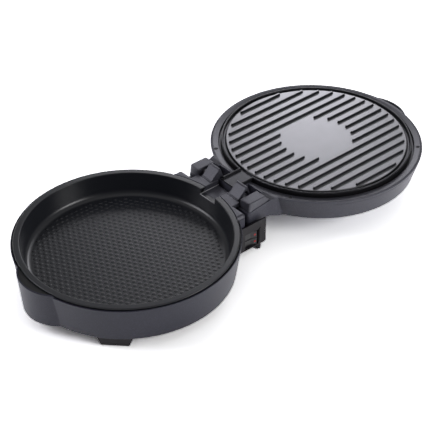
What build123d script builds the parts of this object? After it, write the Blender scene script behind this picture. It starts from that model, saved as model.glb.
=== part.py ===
from build123d import *
import math
import os

# A two-plate pizza maker, opened flat. Millimetres, +Z up, the table at z = 0.
# The base half lies towards -Y, the lid half towards +Y, and the hinge line runs along X above the origin.

# Gaps between neighbours
play = 0.3
slot_play = 0.4
swing_gap = 1.1
closing_gap = 0.9
pin_fit = 0.02
pin_play = 0.05

# Where the halves lie
hinge_offset = 21.3
foot_height = 17.5

# Base shell
rim_gap = 1.0
housing_draft = 7.9
housing_height = 55.6
shell_wall = 2.4
rim_edge = 0.8
foot_edge = 1.2
crease_radius = 4.0
bump_radius = 58.9
bump_reach = 11.5
bump_draft = 0.085
bump_rise = 2.5
rim_lip = 1.2
rabbet_depth = 2.5

# Base rear deck and its wings
deck_margin = 5.5
deck_setback = 24.5
deck_corner = 5.0
deck_thickness = 3.0
deck_edge = 6.0
wing_height = 16.1
tongue_setback = 14.0

# Pan
pan_radius = 150.0
pan_draft = 6.0
pan_depth = 34.6
pan_wall = 2.5
pan_corner = 9.0
flange_width = 9.0
flange_drop = 4.8
flange_wall = 2.0
flange_edge = 1.2
flange_foot_round = 0.5
wall_round = 0.8
pan_brow = 1.0
rim_rise = 2.0

# Notch in the pan rim and its channel over the deck
notch_half_width = 16.3
notch_drop = 8.5
notch_lip = 1.5
channel_wall = 2.0
channel_end = 1.0

# Black inner frame of the base
frame_plate = 3.0
collar_wall = 2.0
collar_gap = 3.3
collar_seat = 13.3
bump_cover_drop = 3.1

# Bottom cover and feet
cover_plate = 2.0
boss_radius = 4.5
boss_inset = 8.5
boss_gap = 4.2
cover_screw_angles = (30, 150, 210, 330)
screw_radius = 1.8
screw_head = 3.6
pillar_inset = 16.0
pillar_radius = 4.0
vent_count = 24
vent_width = 5.0
vent_inner = 55.0
vent_outer = 84.0
foot_width = 39.0
foot_flare = 6.5
foot_corner = 3.0
foot_depth = 13.0
foot_inset = 13.0
foot_angles = (-45, -135)
pad_radius = 5.0
pad_height = 1.6
pad_recess = 0.8
peg_radius = 4.0
peg_inset = 2.0
peg_place = 1.0
peg_chamfer = 0.8

# Box behind the base
box_rear = 12.0
box_foot = 10.0
box_wall = 2.5
side_plate = 2.2
panel_corner = 3.0
panel_top_corner = 1.5
wire_window_width = 44.0
wire_window_height = 10.0

# Switches
switch_place = -15.0
rocker_length = 21.0
rocker_height = 11.0
rocker_pitch = 12.3
lower_rocker_height = 18.0
rocker_tilt = 8.0
rocker_dip = 1.6
rocker_face = 2.0
rocker_edge = 1.0
rocker_keel = 4.0
rocker_axis_depth = 4.0
rocker_crease = 6.0
rocker_round = 0.6
skirt_round = 0.4
keel_round = 1.0
tray_margin = 2.6
tray_rim = 0.7
tray_depth = 2.8
tray_wall = 1.6
lens_width = 3.4
lens_height = 2.8
lens_depth = 1.6
lens_proud = 0.3
lens_place = 7.2
lens_fit = 0.03
module_length = 18.0
module_depth = 15.0
module_gap = 1.2
bar_length = 25.0
bar_width = 2.4
bar_gap = 1.2
bar_over = 1.0
bar_proud = 0.8

# Heating rings and what holds them
ring_inset = 49.0
tube_radius = 4.0
ring_gap_angle = 16.0
terminal_reach = 30.0
terminal_pin = 1.6
terminal_tip = 7.0
terminal_root = 1.0
ring_rest = 1.6
clip_angles = (0, 125, -125)
clip_length = 12.0
clip_width = 14.0
reflector_inset = 16.0
reflector_sheet = 0.9
reflector_rim = 2.2
reflector_round = 1.5
sheet_round = 0.6
thermostat_radius = 9.0
thermostat_height = 6.5
thermostat_place = 38.0
bracket_length = 36.0
bracket_width = 14.0
bracket_sheet = 1.2
stem_radius = 5.0
fuse_radius = 2.2
fuse_length = 22.0
fuse_place = -50.0
saddle_width = 10.0
saddle_floor = 1.0

# Mains terminals in the box
terminal_span = (-32.0, 4.0)
terminal_depth = (-14.0, 2.0)
terminal_height = 12.0
terminal_holes = (-24.0, -14.0, -4.0)
terminal_hole = 2.6
terminal_hole_depth = 5.0

# Cord inlet
gland_place = -40.0
gland_height = 25.0
gland_radius = 9.0
gland_flange = 3.2
gland_barrel = 6.2
gland_bore = 3.7
gland_round = 1.2

# Hinge arms and pins
arm_gap = 0.7
arm_width = 21.2
arm_wall = 3.0
arm_toe = 11.0
arm_fold = 3.0
arm_fold_rise = 14.4
arm_ridge = 16.6
arm_ridge_place = 3.6
arm_ridge_width = 2.4
arm_brow = 8.8
arm_brow_rise = 9.5
arm_edge = 0.6
arm_round = 1.0
arm_crown = 1.6
arm_back = 3.0
pin_radius = 3.5
pin_boss = 6.2
pin_reach = 13.0
pin_chamfer = 0.5

# Lid shell
ring_drop = 2.1
casing_depth = 36.0
casing_draft = 9.6
crown_radius = 72.0
crown_height = 2.0
dome_rise = 3.0
casing_edge = 2.0
groove_drop = 5.0
groove_cut = 0.6
lid_bump_drop = 4.4
lid_pad_circle = 52.0
lid_pad_radius = 8.0
lid_pad_edge = 0.5

# Forked neck of the lid
neck_gap = 8.0
neck_depth = 28.0
prong_width = 20.6
prong_drop = 6.0
prong_slope_end = 34.0
neck_corner = 7.0
neck_run = 26.0
neck_bend = 8.0
neck_flare = 4.5
flare_from = 20.0
flare_to = 39.0
slot_bite = 7.2
prong_gap = 6.4
prong_start = 3.4
block_inset = 0.5
block_slant = 0.6
block_rise = 9.2
block_front = 13.0
block_rear = 17.0
block_toe = 1.5
block_heel = 10.0
block_corner = 4.0
block_edge = 1.6
block_strip = 2.5
bearing_inset = 1.0

# Grey frame of the lid
lid_frame_plate = 2.5
cover_sink = 2.0
trough_width = 4.0
skirt_wall = 2.0
skirt_depth = 6.2
ledge_plate = 2.0
frame_screw_angles = (42.5, 137.5, -57.8, -122.2)
frame_screw_head = 2.6
frame_screw_shank = 1.4
frame_screw_sink = 1.0
frame_boss = 3.2

# Grill plate
plate_inset = 11.4
plate_rise = 4.2
plate_thickness = 3.8
groove_depth = 3.5
groove_width = 4.6
groove_wall = 2.2
groove_lean = 0.5
plate_edge = 1.2
plate_step = 3.0
plate_round = 1.0
lip_edge = 0.9
lip_crown = 1.1
lip_width = 2.6
lip_rise = 1.3
spout_wall = 2.6
spout_floor = 1.8
spout_end = 4.2
spout_wall_setback = 3.0
spout_cut = 2.0
rib_count = 16
rib_pitch = 17.0
rib_height = 3.6
rib_foot = 4.6
rib_taper = 15.0
rib_inset = 4.3
rib_root = 0.2
plain_disc = 55.3

# Heights and places that follow from the sizes above
rim_radius = pan_radius + flange_width + rim_gap + shell_wall
foot_radius = rim_radius - housing_draft
centre_offset = rim_radius + hinge_offset
pan_floor_radius = pan_radius - pan_draft
under_base = -centre_offset / 3
housing_top = foot_height + housing_height
housing_slope = housing_draft / housing_height
pan_top = housing_top + rim_rise
pan_floor = pan_top - pan_depth
pan_bottom = pan_floor - pan_wall
flange_radius = pan_radius + flange_width
slot_inner = notch_half_width + channel_wall + play
arm_inner = slot_inner + arm_gap
arm_outer = arm_inner + arm_width
slot_outer = arm_outer + prong_gap
slot_rear = hinge_offset + slot_bite
tongue_half_width = slot_outer - arm_gap
neck_half_width = slot_outer + prong_width
neck_reach = deck_setback - neck_gap
deck_half_width = neck_half_width + deck_margin
boss_circle = foot_radius - boss_inset
foot_circle = foot_radius - foot_inset
reflector_radius = pan_floor_radius - reflector_inset
pillar_circle = reflector_radius - pillar_inset
ring_radius = pan_floor_radius - ring_inset
notch_floor = pan_top - notch_drop
lid_rim = pan_top - ring_drop
hinge_height = (pan_top + lid_rim + closing_gap) / 2
wing_top = pan_top - deck_edge
wing_foot = wing_top - wing_height
casing_foot = lid_rim - casing_depth
casing_foot_radius = rim_radius - casing_draft
casing_slope = casing_draft / casing_depth
neck_foot = lid_rim - neck_depth
swing_radius = math.hypot(neck_reach, hinge_height - neck_foot)
box_top = hinge_height - swing_radius - swing_gap
frame_seat = pan_top - collar_seat
collar_radius = pan_radius + collar_gap
plate_top = lid_rim + plate_rise
plate_bottom = plate_top - plate_thickness
skirt_foot = lid_rim - skirt_depth
ledge_top = skirt_foot - play
block_top = lid_rim + block_rise
plate_outer = deck_half_width + play + side_plate
block_foot_width = neck_half_width - block_inset
block_half_width = block_foot_width - block_slant
lid_bump_top = lid_rim - lid_bump_drop
lid_cover_top = lid_bump_top - cover_sink
pin_end = slot_outer + pin_reach
plate_radius = pan_radius - plate_inset
rib_circle = plate_radius - rib_inset
lip_radius = plate_radius + groove_width + lip_width
lid_frame_radius = lip_radius + trough_width
spout_half_width = notch_half_width - slot_play
frame_screw_circle = lid_frame_radius + skirt_wall + play + frame_boss


def outline(points):
    """A flat face from (x, y, corner radius) points."""
    corners = [(x, y) for x, y, _ in points]
    radii = [radius for _, _, radius in points]
    return make_face(FilletPolyline(*corners, radius=radii, close=True))


def turned(points, y_centre):
    """A (radius, height, corner radius) outline turned about the upright line at y_centre."""
    return Pos(0, y_centre, 0) * revolve(Plane.XZ * outline(points), Axis.Z)


def across(points, x_from, x_to):
    """A (y, z, corner radius) outline pulled from x_from to x_to."""
    return Pos(x_from, 0, 0) * extrude(Plane.YZ * outline(points), x_to - x_from)


def upward(points, z_from, z_to):
    """An (x, y, corner radius) outline pulled up from z_from to z_to."""
    return Pos(0, 0, z_from) * extrude(outline(points), z_to - z_from)


def block(x_span, y_span, z_span):
    """A box between the two ends of each span."""
    middle = [sum(span) / 2 for span in (x_span, y_span, z_span)]
    size = [span[1] - span[0] for span in (x_span, y_span, z_span)]
    return Pos(*middle) * Box(*size)


def disc(radius, z_from, z_to, x=0.0, y=0.0):
    """An upright cylinder between two heights."""
    return Pos(x, y, (z_from + z_to) / 2) * Cylinder(radius, z_to - z_from)


def rod(radius, x_from, x_to, y, z):
    """A cylinder along X."""
    return Pos((x_from + x_to) / 2, y, z) * Rot(0, 90, 0) * Cylinder(radius, x_to - x_from)


def frustum(lower_radius, upper_radius, z_from, z_to, y):
    """An upright cone piece between two heights."""
    return Pos(0, y, (z_from + z_to) / 2) * Cone(lower_radius, upper_radius, z_to - z_from)


def twin(shape):
    """The shape and its mirror image across the middle plane."""
    return shape + mirror(shape, Plane.YZ)


def around(radius, angle, y_centre):
    """The point at an angle, in degrees from +X, on a circle about the middle of a half."""
    turn = math.radians(angle)
    return radius * math.cos(turn), y_centre + radius * math.sin(turn)


def housing_radius(z):
    """Outer radius of the base shell at a height."""
    return foot_radius + housing_slope * (z - foot_height)


def casing_radius(z):
    """Outer radius of the lid shell's wall at a height."""
    return casing_foot_radius + casing_slope * (z - casing_foot)


def base_round(inset, z_from, z_to):
    """The round body of the base, drawn in by inset."""
    return frustum(housing_radius(z_from) - inset, housing_radius(z_to) - inset, z_from, z_to, -centre_offset)


def grip_bump(side, inset, z_from, z_to, rim):
    """The rounded grip at the far end of a half: side is -1 for the base and 1 for the lid."""
    middle = side * (centre_offset + rim_radius + bump_reach - bump_radius)
    lower = bump_radius - inset - bump_draft * (rim - z_from)
    upper = bump_radius - inset - bump_draft * (rim - z_to)
    return frustum(lower, upper, z_from, z_to, middle)


def rounded_skin(shell, side, z_foot, z_bump, z_rim):
    """Rounds the creases beside the grip bump and the rim edge, and the foot edge of the base."""
    creases = [edge for edge in shell.edges() if is_crease(edge, side, z_foot, z_bump)]
    shell = fillet(creases, crease_radius)
    rim = [edge for edge in shell.edges() if min(point.Z for point in ends(edge)) > z_rim - play]
    shell = fillet(rim, rim_edge)
    if side > 0:
        return shell
    foot = [edge for edge in shell.edges() if max(point.Z for point in ends(edge)) < z_foot + play]
    return fillet(foot, foot_edge)


def ends(edge):
    """Both ends and the middle of an edge."""
    return edge @ 0, edge @ 0.5, edge @ 1


def is_crease(edge, side, z_foot, z_bump):
    """Whether an edge runs up the shell where the grip bump meets the round wall."""
    low, _, high = sorted(point.Z for point in ends(edge))
    middle = edge @ 0.5
    off_middle = abs(middle.X) > bump_radius / 4
    at_bump = side * middle.Y > centre_offset + foot_radius / 2
    return off_middle and at_bump and low < z_foot + play and high > z_bump - play


def wing_plan(inset, z_from, z_to):
    """The plan of the rear wings, from inside the round wall to the rear face."""
    half = deck_half_width - inset
    rear = -deck_setback - inset
    corner = max(deck_corner - inset, play)
    inside = -centre_offset / 2
    points = ((-half, inside, 0), (half, inside, 0), (half, rear, corner), (-half, rear, corner))
    return upward(points, z_from, z_to)


def base_disc(radius, z_from, z_to):
    """An upright cylinder about the middle of the base."""
    return disc(radius, z_from, z_to, 0, -centre_offset)


def rim_gate(half_width, z_from, z_to, y_centre):
    """Wedge towards +Y from the middle of a half, that opens its rim so that the rim ends along radii."""
    reach = 2 * rim_radius
    side = reach * half_width / rim_radius
    far = y_centre + math.sqrt(reach ** 2 - side ** 2)
    return upward([(0, y_centre, 0), (side, far, 0), (-side, far, 0)], z_from, z_to)


def bump_opening():
    """Half width at which the hollow of a grip bump meets the outer face of the rim."""
    away = rim_radius + bump_reach - bump_radius
    inner = bump_radius - shell_wall
    along = (rim_radius ** 2 - inner ** 2 + away ** 2) / (2 * away)
    return math.sqrt(rim_radius ** 2 - along ** 2)


def base_housing():
    """Outer shell of the base: round wall, grip bump, wings, frame ledge and cover bosses."""
    over = housing_top + play
    shell = base_round(0, foot_height, housing_top)
    shell += grip_bump(-1, 0, foot_height, housing_top, housing_top)
    shell = rounded_skin(shell, -1, foot_height, housing_top, housing_top)
    shell += bump_crest()
    shell += wing_plan(0, wing_foot, wing_top)
    hollow = base_round(shell_wall, foot_height - play, over)
    hollow += grip_bump(-1, shell_wall, foot_height - play, over + bump_rise, housing_top)
    hollow += disc(rim_radius - rim_lip, housing_top - rabbet_depth, over, 0, -centre_offset)
    hollow += wing_plan(shell_wall, wing_foot + shell_wall, over)
    shell -= hollow
    gate = tongue_half_width + slot_play
    rear = (-centre_offset / 2, 0)
    shell -= block((-gate, gate), rear, (wing_foot + shell_wall, over))
    deck_opening = (deck_half_width + play) * rim_radius / (rim_radius - shell_wall)
    shell -= rim_gate(deck_opening, wing_top, over, -centre_offset)
    ledge_foot = frame_seat - play - shell_wall
    ledge = base_round(shell_wall / 2, ledge_foot, frame_seat - play)
    ledge -= base_disc(collar_radius, ledge_foot - play, frame_seat)
    skirt_front = -deck_setback - shell_wall - 2 * play
    ledge -= block((-gate, gate), (skirt_front, 0), (ledge_foot - play, frame_seat))
    shell += ledge
    for angle in cover_screw_angles:
        shell += cover_boss(angle)
    half_window = wire_window_width / 2
    window = (foot_height + cover_plate + play, foot_height + cover_plate + play + wire_window_height)
    return shell - block((-half_window, half_window), rear, window)


def bump_crest():
    """Raised wall of the grip bump, which stands above the rim of the base."""
    top = housing_top + bump_rise
    crest = grip_bump(-1, 0, housing_top - rim_edge - play, top, housing_top)
    crest = fillet(crest.edges().group_by(Axis.Z)[-1], rim_edge)
    return crest - disc(rim_radius - rim_lip, 0, top + play, 0, -centre_offset)


def cover_boss(angle):
    """A screw boss for the bottom cover, with the web that ties it to the wall."""
    foot = foot_height + cover_plate + play
    x, y = around(boss_circle, angle, -centre_offset)
    top = pan_bottom - boss_gap
    boss = disc(boss_radius, foot, top, x, y)
    reach = housing_radius(foot) - shell_wall / 2 - boss_circle
    web = Pos(boss_circle + reach / 2, 0, (foot + top) / 2) * Box(reach, boss_radius, top - foot)
    boss += Pos(0, -centre_offset, 0) * Rot(0, 0, angle) * web
    return boss - disc(screw_radius + play, foot - play, top - shell_wall, x, y)


def base_frame():
    """Black inner frame: floor ring, collar under the pan flange and the cover of the grip bump."""
    over = pan_top + play
    floor_top = frame_seat + frame_plate
    frame = base_round(shell_wall + play, frame_seat, floor_top)
    bump_fill = grip_bump(-1, shell_wall + play, frame_seat, housing_top - play, housing_top)
    bump_fill -= base_disc(flange_radius + 2 * play, floor_top, over)
    frame += bump_fill - bump_pocket()
    frame += disc(collar_radius + collar_wall, frame_seat, pan_top - flange_wall - play, 0, -centre_offset)
    frame -= disc(collar_radius, frame_seat - play, over, 0, -centre_offset)
    gate = tongue_half_width + slot_play
    skirt_front = -deck_setback - shell_wall - 2 * play
    frame -= block((-gate, gate), (skirt_front, 0), (frame_seat - play, over))
    notch = notch_half_width + play
    return frame - block((-notch, notch), (-centre_offset, 0), (notch_floor - notch_lip - play, over))


def bump_pocket():
    """The space under the bump cover, which stays a shell."""
    foot = frame_seat - play
    top = housing_top - bump_cover_drop
    inset = shell_wall + play + channel_wall
    pocket = grip_bump(-1, inset, foot, top, housing_top)
    return pocket - base_disc(flange_radius + 2 * play + 2 * channel_wall, foot - play, top + play)


def rear_deck():
    """Deck between the pan and the hinge: fence round the flange, tongues, rear skirt and channel."""
    over = pan_top + play
    seat = frame_seat + frame_plate + play
    fence_inner = flange_radius + play
    fence_outer = fence_inner + channel_wall
    keep = deck_half_width - shell_wall - play
    deck = fence_disc(fence_outer, seat, keep) - disc(fence_inner, seat - play, over, 0, -centre_offset)
    deck += deck_plate(fence_inner)
    deck -= block((-notch_half_width, notch_half_width), (-centre_offset, 0), (notch_floor - play, over))
    return deck + channel(fence_inner, seat)


def fence_disc(radius, foot, half):
    """The part of a disc about the middle of the base that lies behind it, within a half width."""
    whole = disc(radius, foot, pan_top, 0, -centre_offset)
    return whole & block((-half, half), (-centre_offset, 0), (foot, pan_top))


def deck_plate(fence_inner):
    """Top of the deck with rounded outer edges, its skirts and the two tongues."""
    half = deck_half_width - play
    foot = wing_top + play
    rear = -deck_setback - play
    front = -centre_offset / 2
    points = ((-half, front, 0), (half, front, 0), (half, rear, deck_corner), (-half, rear, deck_corner))
    plate = upward(points, foot, pan_top)
    top_edges = [edge for edge in plate.edges() if edge.center().Z > pan_top - play]
    outer_edges = [edge for edge in top_edges if edge.center().Y > front + play]
    plate = fillet(outer_edges, deck_corner)
    tongue = ((notch_half_width, rear - deck_corner, 0), (tongue_half_width, rear - deck_corner, 0),
              (tongue_half_width, -tongue_setback, 1.0), (notch_half_width, -tongue_setback, 0))
    plate += twin(upward(tongue, foot, pan_top))
    inner = half - shell_wall
    plate -= block((-inner, inner), (front, rear - shell_wall), (foot - play, pan_top - deck_thickness))
    skirt_foot_z = wing_foot + shell_wall + play
    skirt = ((-tongue_half_width, tongue_half_width), (rear - shell_wall, rear))
    plate += block(*skirt, (skirt_foot_z, foot + play))
    return plate - base_disc(fence_inner, skirt_foot_z - play, pan_top + play)


def channel(fence_inner, seat):
    """Open channel that carries the rim notch back between the hinge arms."""
    side = notch_half_width + channel_wall
    front = -centre_offset + collar_radius + collar_wall + play
    trough = block((-side, side), (front, -channel_end), (seat, pan_top))
    notch = (-notch_half_width, notch_half_width)
    trough -= block(notch, (front - play, 0), (notch_floor - play, pan_top + play))
    return trough - disc(fence_inner, pan_top - flange_drop - play, pan_top + play, 0, -centre_offset)


def base_pan():
    """Deep coated pan with a rolled rim and the notch at the hinge."""
    inner_slope = (pan_radius - pan_floor_radius) / pan_depth
    lip_foot = pan_top - flange_drop
    under = pan_top - flange_wall
    wall_end = pan_radius + pan_wall - inner_slope * flange_wall
    points = (
        (0, pan_bottom, 0), (pan_floor_radius, pan_bottom, pan_corner + pan_wall),
        (wall_end, under, wall_round),
        (flange_radius - flange_wall, under, wall_round), (flange_radius - flange_wall, lip_foot, 0),
        (flange_radius, lip_foot, flange_foot_round), (flange_radius, pan_top, flange_edge),
        (pan_radius, pan_top, pan_brow), (pan_floor_radius, pan_floor, pan_corner), (0, pan_floor, 0),
    )
    pan = turned(points, -centre_offset)
    reach = collar_radius + collar_wall
    lip = disc(reach, notch_floor - notch_lip, notch_floor, 0, -centre_offset)
    lip -= disc(pan_radius - 2 * inner_slope * notch_drop + pan_wall / 2, 0, pan_top, 0, -centre_offset)
    side = (-notch_half_width, notch_half_width)
    lip = lip & block(side, (-centre_offset, 0), (0, pan_top))
    pan -= block(side, (-centre_offset, 0), (notch_floor, pan_top + play))
    return pan + lip


def bottom_cover():
    """Vented cover plate with the pillars that carry the reflector."""
    radius = foot_radius - shell_wall - play
    top = foot_height + cover_plate
    cover = disc(radius, foot_height, top, 0, -centre_offset)
    run = vent_outer - vent_inner
    for index in range(vent_count):
        slot = extrude(SlotOverall(run, vent_width), cover_plate + 2 * play)
        slot = Pos((vent_inner + vent_outer) / 2, 0, foot_height - play) * slot
        cover -= Pos(0, -centre_offset, 0) * Rot(0, 0, 360 / vent_count * index) * slot
    pillar_top = reflector_floor(pan_bottom) - play
    for angle in (0, 90, 180, 270):
        x, y = around(pillar_circle, angle, -centre_offset)
        cover += disc(pillar_radius, top - play, pillar_top, x, y)
    for angle in cover_screw_angles:
        x, y = around(boss_circle, angle, -centre_offset)
        cover -= disc(screw_radius + play, foot_height - play, top + play, x, y)
    return cover


def base_screws():
    """Screws of the bottom cover, heads below it."""
    group = []
    head_top = foot_height
    for angle in cover_screw_angles:
        x, y = around(boss_circle, angle, -centre_offset)
        head = disc(screw_head, head_top - pad_height, head_top, x, y)
        tip = (foot_height + pan_bottom - boss_gap) / 2
        group.append(head + disc(screw_radius, head_top - play, tip, x, y))
    return group


def front_feet():
    """Two wide feet under the front of the base, narrower at the table."""
    group = []
    half = foot_width / 2
    top = foot_height - play
    face = ((-half, pad_recess, foot_corner), (half, pad_recess, foot_corner),
            (half + foot_flare, top, 0), (-half - foot_flare, top, 0))
    foot = across(face, foot_circle - foot_depth / 2, foot_circle + foot_depth / 2)
    foot -= disc(pad_radius + play, 0, pad_height, foot_circle, 0)
    for angle in foot_angles:
        group.append(Pos(0, -centre_offset, 0) * Rot(0, 0, angle) * foot)
    return group


def foot_pads():
    """Rubber pads let into the front feet."""
    places = [around(foot_circle, angle, -centre_offset) for angle in foot_angles]
    return [disc(pad_radius, 0, pad_height - play, *place) for place in places]


def rear_feet():
    """Two round pegs under the rear box."""
    pegs = []
    for side in (-1, 1):
        x = side * (deck_half_width - peg_inset)
        peg = disc(peg_radius, 0, box_foot - play, x, peg_place)
        pegs.append(chamfer(peg.edges().group_by(Axis.Z)[0], peg_chamfer))
    return pegs


def box_front(gap, z_from, z_to):
    """The round base and the cover under it, grown by a gap, to cut what stands behind them."""
    cutter = base_round(-gap, foot_height, z_to)
    return cutter + disc(foot_radius + gap, z_from, foot_height + gap, 0, -centre_offset)


def rear_box():
    """Box across the rear of the base, under the swing of the lid's neck."""
    half = deck_half_width
    low = box_foot - play
    body = block((-half, half), (under_base, box_rear), (box_foot, box_top))
    rear_edges = body.edges().filter_by(Axis.Z).group_by(Axis.Y)[-1]
    body = fillet(rear_edges, box_wall)
    body -= box_front(play, low, box_top + play)
    inner_half = half - box_wall
    inner_levels = (box_foot + box_wall, box_top - box_wall)
    hollow = block((-inner_half, inner_half), (under_base, box_rear - box_wall), inner_levels)
    hollow -= box_front(play + box_wall, low, box_top)
    body -= hollow
    half_window = wire_window_width / 2
    sill = foot_height + cover_plate + play
    window = ((-half_window, half_window), (under_base, box_wall - deck_setback))
    body -= block(*window, (sill, sill + wire_window_height))
    (tray_y, tray_z) = tray_span(tray_wall + play)
    body -= block((half - box_wall - play, half + play), tray_y, tray_z)
    return body - gland_cut()


def gland_cut():
    """Hole for the cord gland in the rear wall of the box."""
    hole = Rot(90, 0, 0) * Cylinder(gland_barrel + play, 4 * box_wall)
    return Pos(gland_place, box_rear, gland_height) * hole


def cord_gland():
    """Bushing where the supply cord enters."""
    flange = Rot(90, 0, 0) * Cylinder(gland_radius, gland_flange)
    flange = Pos(0, box_rear + play + gland_flange / 2, 0) * flange
    flange = fillet(flange.edges().group_by(Axis.Y)[-1], gland_round)
    length = box_wall + 4 * play + gland_flange
    barrel = Pos(0, box_rear + gland_flange - length / 2, 0) * Rot(90, 0, 0) * Cylinder(gland_barrel, length)
    bore = Pos(0, box_rear, 0) * Rot(90, 0, 0) * Cylinder(gland_bore, 6 * gland_flange)
    return Pos(gland_place, 0, gland_height) * (flange + barrel - bore)


def tray_span(grow):
    """Spans along Y and Z of the recess round both rockers."""
    half = rocker_length / 2 + tray_margin + grow
    lowest = lower_rocker_height - rocker_height / 2 - tray_rim - grow
    highest = lower_rocker_height + rocker_pitch + rocker_height / 2 + tray_margin + grow
    return (switch_place - half, switch_place + half), (lowest, highest)


def side_panel():
    """Side plate of the rear box on the -X side, cut to the round of the base."""
    face = ((under_base, box_foot, 0), (box_rear, box_foot, panel_corner),
            (box_rear, wing_foot, panel_top_corner), (under_base, wing_foot, 0))
    plate = across(face, -plate_outer, -plate_outer + side_plate)
    return plate - box_front(play, box_foot - play, wing_foot + play)


def switch_bezel():
    """Side plate on the +X side with the sunk tray for the rockers."""
    plate = mirror(side_panel(), Plane.YZ)
    (y_span, z_span) = tray_span(0)
    (y_wide, z_wide) = tray_span(tray_wall)
    tray_back = plate_outer - tray_depth
    plate += block((tray_back - tray_wall, plate_outer), y_wide, z_wide)
    plate -= block((tray_back, plate_outer + play), y_span, z_span)
    bar_near = y_span[1] + bar_gap
    bar_top = z_span[1] + bar_over
    bar_depth = (plate_outer - play, plate_outer + bar_proud)
    plate += block(bar_depth, (bar_near, bar_near + bar_width), (bar_top - bar_length, bar_top))
    for level in (lower_rocker_height, lower_rocker_height + rocker_pitch):
        half = rocker_length / 2 + 2 * slot_play
        rise = rocker_height / 2 + slot_play
        window = ((switch_place - half, switch_place + half), (level - rise, level + rise))
        plate -= block((tray_back - tray_wall - play, plate_outer), *window)
    return plate


def rocker_pivot():
    """Plan position of the rockers' upright axis."""
    return plate_outer - rocker_axis_depth, switch_place


def at_pivot(shape, level):
    """Stands a shape drawn with its length along X and its face towards +Y on the rockers' axis."""
    return Pos(*rocker_pivot(), level) * Rot(0, 0, -90 - rocker_tilt) * mirror(shape, Plane.YZ)


def rocker(level):
    """A rocker at its off position, with its +Y end out."""
    half = rocker_length / 2
    keel = rocker_length / 4
    points = ((-half, -rocker_edge, skirt_round), (-half, rocker_face, rocker_round),
              (0, rocker_face - rocker_dip, rocker_crease), (half, rocker_face, rocker_round),
              (half, -rocker_edge, skirt_round), (keel, -rocker_keel, keel_round),
              (-keel, -rocker_keel, keel_round))
    body = Pos(0, 0, -rocker_height / 2) * extrude(outline(points), rocker_height)
    return at_pivot(body, level)


def lens(level, grow=0.0):
    """Red lamp window near the +Y end of a rocker."""
    face = rocker_face - rocker_dip * (1 - 2 * lens_place / rocker_length)
    window = Box(lens_width + 2 * grow, lens_depth + grow, lens_height + 2 * grow)
    return at_pivot(Pos(lens_place, face + lens_proud - (lens_depth + grow) / 2, 0) * window, level)


def switch_modules():
    """Bodies of the two switches behind the tray."""
    (px, py) = rocker_pivot()
    front = px - rocker_keel - module_gap
    half = rocker_height / 2 - play
    spans = (front - module_depth, front), (py - module_length / 2, py + module_length / 2)
    levels = (lower_rocker_height, lower_rocker_height + rocker_pitch)
    return [block(*spans, (level - half, level + half)) for level in levels]


def terminal_block():
    """Mains terminals on the floor of the rear box."""
    floor = box_foot + box_wall + play
    top = floor + terminal_height
    body = block(terminal_span, terminal_depth, (floor, top))
    for place in terminal_holes:
        body -= disc(terminal_hole, top - terminal_hole_depth, top + play, place, sum(terminal_depth) / 2)
    return body


def reflector_floor(heated):
    """Height of the reflector's sheet under a heated surface, lower face."""
    return heated - 2 * (tube_radius + play) - ring_rest - reflector_sheet


def heating_ring(z, y_centre, towards):
    """Tubular ring with its two ends led out towards the hinge."""
    gap = ring_gap_angle
    section = Plane.XZ * (Pos(ring_radius, z) * Circle(tube_radius))
    ring = Rot(0, 0, 90 * towards + gap / 2) * revolve(section, Axis.Z, 360 - gap)
    for side in (-1, 1):
        turn = Rot(0, 0, 90 * towards + side * gap / 2)
        leg = rod(tube_radius, ring_radius, ring_radius + terminal_reach, 0, z)
        leg_end = ring_radius + terminal_reach
        tip = rod(terminal_pin, leg_end - terminal_root, leg_end + terminal_tip, 0, z)
        ring += turn * (leg + tip + Pos(ring_radius, 0, z) * Sphere(tube_radius))
    return Pos(0, y_centre, 0) * ring


def ring_clips(z, floor, y_centre, towards):
    """Three saddles that hold a heating ring above its reflector."""
    groove_face = Plane.XZ * (Pos(ring_radius, z) * Circle(tube_radius + play))
    groove = revolve(groove_face, Axis.Z)
    clips = []
    reach = (ring_radius - clip_width / 2, ring_radius + clip_width / 2)
    for angle in clip_angles:
        saddle = block(reach, (-clip_length / 2, clip_length / 2), (floor + play, z))
        clips.append(Pos(0, y_centre, 0) * Rot(0, 0, angle - 90 * towards) * (saddle - groove))
    return clips


def lower_reflector():
    """Sheet dish under the lower heating ring."""
    floor = reflector_floor(pan_bottom)
    inner = reflector_radius - reflector_sheet
    rim = floor + reflector_rim
    points = ((0, floor, 0), (reflector_radius, floor, reflector_round), (reflector_radius, rim, 0),
              (inner, rim, 0), (inner, floor + reflector_sheet, sheet_round), (0, floor + reflector_sheet, 0))
    return turned(points, -centre_offset)


def upper_reflector():
    """Sheet dish behind the upper heating ring, hung by its rim on the lid's ledge."""
    floor = reflector_floor(plate_bottom)
    rest = ledge_top + play
    inner = plate_radius - 4 * reflector_sheet
    hung = plate_radius + groove_width - play
    inside = inner - reflector_sheet
    points = ((0, floor, 0), (inner, floor, reflector_round), (inner, rest, 0), (hung, rest, 0),
              (hung, rest + reflector_sheet, 0), (inside, rest + reflector_sheet, sheet_round),
              (inside, floor + reflector_sheet, sheet_round), (0, floor + reflector_sheet, 0))
    return turned(points, centre_offset)


def thermostat(heated, y_centre):
    """Disc thermostat held against a heated surface by its bracket."""
    floor = reflector_floor(heated) + reflector_sheet + play
    top = heated - play
    y = y_centre
    x = thermostat_place
    foot = top - thermostat_height
    half = bracket_length / 2
    side = bracket_width / 2
    strip = block((x - half, x + half), (y - side, y + side), (floor, floor + bracket_sheet))
    stem = disc(stem_radius, floor, foot + play, x, y)
    body = disc(thermostat_radius, foot, top, x, y)
    return [strip + stem, body - disc(stem_radius + play, foot - play, foot + 2 * play, x, y)]


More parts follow.
